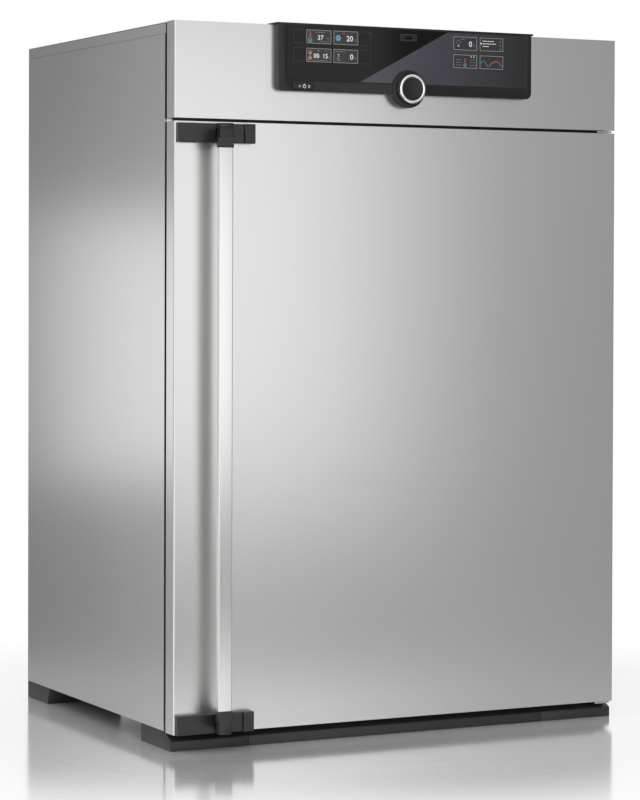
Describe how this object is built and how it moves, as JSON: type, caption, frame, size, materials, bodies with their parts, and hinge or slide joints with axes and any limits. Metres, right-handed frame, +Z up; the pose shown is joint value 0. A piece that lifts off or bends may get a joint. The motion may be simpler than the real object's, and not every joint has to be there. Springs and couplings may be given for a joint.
{
  "type": "laboratory incubator",
  "caption": "Upright bench incubator with a steel cabinet, inner glass door, insulated outer door with a turning handle, wire shelves, fan, air flap and a control panel with a knob.",
  "frame": {"origin": "on the floor under the middle of the whole object, handle and exhaust pipe included", "axes": "+Z up, -Y out of the door, +X to the viewer's right, towards the door hinges"},
  "size_m": [0.824, 0.729, 1.163],
  "materials": {
    "steel_skin": "satin textured stainless sheet",
    "steel_inside": "bright stainless sheet",
    "zinc_sheet": "zinc coated sheet",
    "black_plastic": "fine grained moulded plastic",
    "panel_plastic": "smooth black moulded plastic",
    "panel_glass": "dark printed panel glass",
    "display": "black display",
    "handle_metal": "satin drawn profile",
    "ring_metal": "turned and polished",
    "plain_steel": "plain steel",
    "silicone": "grey silicone",
    "clear_glass": "clear toughened glass",
    "wool": "mineral wool",
    "heater": "flat silicone heating mat",
    "circuit": "green circuit board",
    "motor_metal": "cast aluminium"
  },
  "bodies": {
    "root": {"left_side_panel": "steel_skin", "right_side_panel": "steel_skin", "top_cover": "steel_skin", "rear_panel": "zinc_sheet", "base_panel": "zinc_sheet", "front_frame": "steel_inside", "fascia_panel": "steel_skin", "fascia_mounts": "zinc_sheet", "rear_screws": "plain_steel", "front_feet": "black_plastic", "front_plinth": "black_plastic", "rear_feet": "black_plastic", "chamber_liner": "steel_inside", "shelf_ribs": "steel_inside", "chamber_insulation": "wool", "heating_mats": "heater", "air_baffle": "steel_inside", "temperature_sensors": "plain_steel", "fan_motor": "motor_metal", "exhaust_pipe": "plain_steel", "flap_motor": "black_plastic", "mains_inlet": "black_plastic", "network_socket": "black_plastic", "power_board": "circuit", "cockpit_housing": "panel_plastic", "display_glass": "panel_glass", "displays": "display", "usb_socket": "panel_plastic", "control_board": "circuit", "rotary_encoder": "black_plastic", "upper_hinge": "plain_steel", "lower_hinge": "plain_steel", "latch_strikers": "plain_steel", "glass_seal": "silicone", "glass_fittings": "plain_steel"},
    "door": {"door_outer_panel": "steel_skin", "door_inner_panel": "steel_inside", "door_insulation": "wool", "door_gasket": "silicone", "door_bushes": "plain_steel", "upper_lock_bracket": "black_plastic", "lower_lock_bracket": "black_plastic", "handle_pins": "plain_steel"},
    "handle": {"handle_bar": "handle_metal", "upper_handle_cap": "black_plastic", "lower_handle_cap": "black_plastic"},
    "latch": {"latch_slides": "plain_steel", "latch_rod": "plain_steel"},
    "glass_door": {"glass_pane": "clear_glass", "glass_clamps": "plain_steel"},
    "glass_knob": {"glass_latch": "black_plastic"},
    "upper_shelf": {"upper_shelf": "plain_steel"},
    "lower_shelf": {"lower_shelf": "plain_steel"},
    "plunger": {"encoder_plunger": "plain_steel"},
    "knob": {"knob_spindle": "plain_steel", "knob_ring": "ring_metal", "knob_cap": "panel_plastic"},
    "power_button": {"power_button": "panel_plastic"},
    "fan": {"fan_wheel": "motor_metal"},
    "flap": {"air_flap": "plain_steel"}
  },
  "joints": [
    {"name": "door_hinge", "type": "hinge", "parent": "root", "child": "door", "pos_m": [0.398, -0.3055, 0.512], "axis": [0, 0, 1], "range_deg": [0, 170]},
    {"name": "handle_turn", "type": "hinge", "parent": "door", "child": "handle", "pos_m": [-0.332, -0.3375, 0.512], "axis": [0, 0, 1], "range_deg": [0, 25]},
    {"name": "latch_slide", "type": "slide", "parent": "door", "child": "latch", "axis": [-1, 0, 0], "range_m": [0, 0.00911]},
    {"name": "glass_door_hinge", "type": "hinge", "parent": "root", "child": "glass_door", "pos_m": [0.338, -0.2698, 0.517], "axis": [0, 0, 1], "range_deg": [0, 110.6]},
    {"name": "glass_knob_turn", "type": "hinge", "parent": "glass_door", "child": "glass_knob", "pos_m": [-0.308, -0.2648, 0.517], "axis": [0, -1, 0], "range_deg": [0, 90]},
    {"name": "upper_shelf_slide", "type": "slide", "parent": "root", "child": "upper_shelf", "axis": [0, -1, 0], "range_m": [0, 0.12472]},
    {"name": "lower_shelf_slide", "type": "slide", "parent": "root", "child": "lower_shelf", "axis": [0, -1, 0], "range_m": [0, 0.12472]},
    {"name": "knob_push", "type": "slide", "parent": "root", "child": "plunger", "axis": [0, 1, 0], "range_m": [0, 0.0015], "stiffness_N_per_m": 600, "springref_m": -0.001},
    {"name": "knob_turn", "type": "hinge", "parent": "plunger", "child": "knob", "pos_m": [0, -0.3395, 1.0625], "axis": [0, -1, 0], "continuous": true},
    {"name": "power_button_push", "type": "slide", "parent": "root", "child": "power_button", "axis": [0, 1, 0], "range_m": [0, 0.0012], "stiffness_N_per_m": 300, "springref_m": -0.001},
    {"name": "fan_spin", "type": "hinge", "parent": "root", "child": "fan", "pos_m": [0, 0.2455, 0.517], "axis": [0, -1, 0], "continuous": true},
    {"name": "flap_turn", "type": "hinge", "parent": "root", "child": "flap", "pos_m": [-0.17, 0.2887, 0.847], "axis": [1, 0, 0], "range_deg": [0, 90]}
  ],
  "couplings": [
    {"joint": "latch_slide", "follows": "handle_turn", "m_per_rad": 0.020856},
    {"joint": "glass_door_hinge", "follows": "door_hinge", "ratio": 0.65},
    {"joint": "upper_shelf_slide", "follows": "door_hinge", "m_per_rad": 0.042},
    {"joint": "lower_shelf_slide", "follows": "door_hinge", "m_per_rad": 0.042}
  ]
}
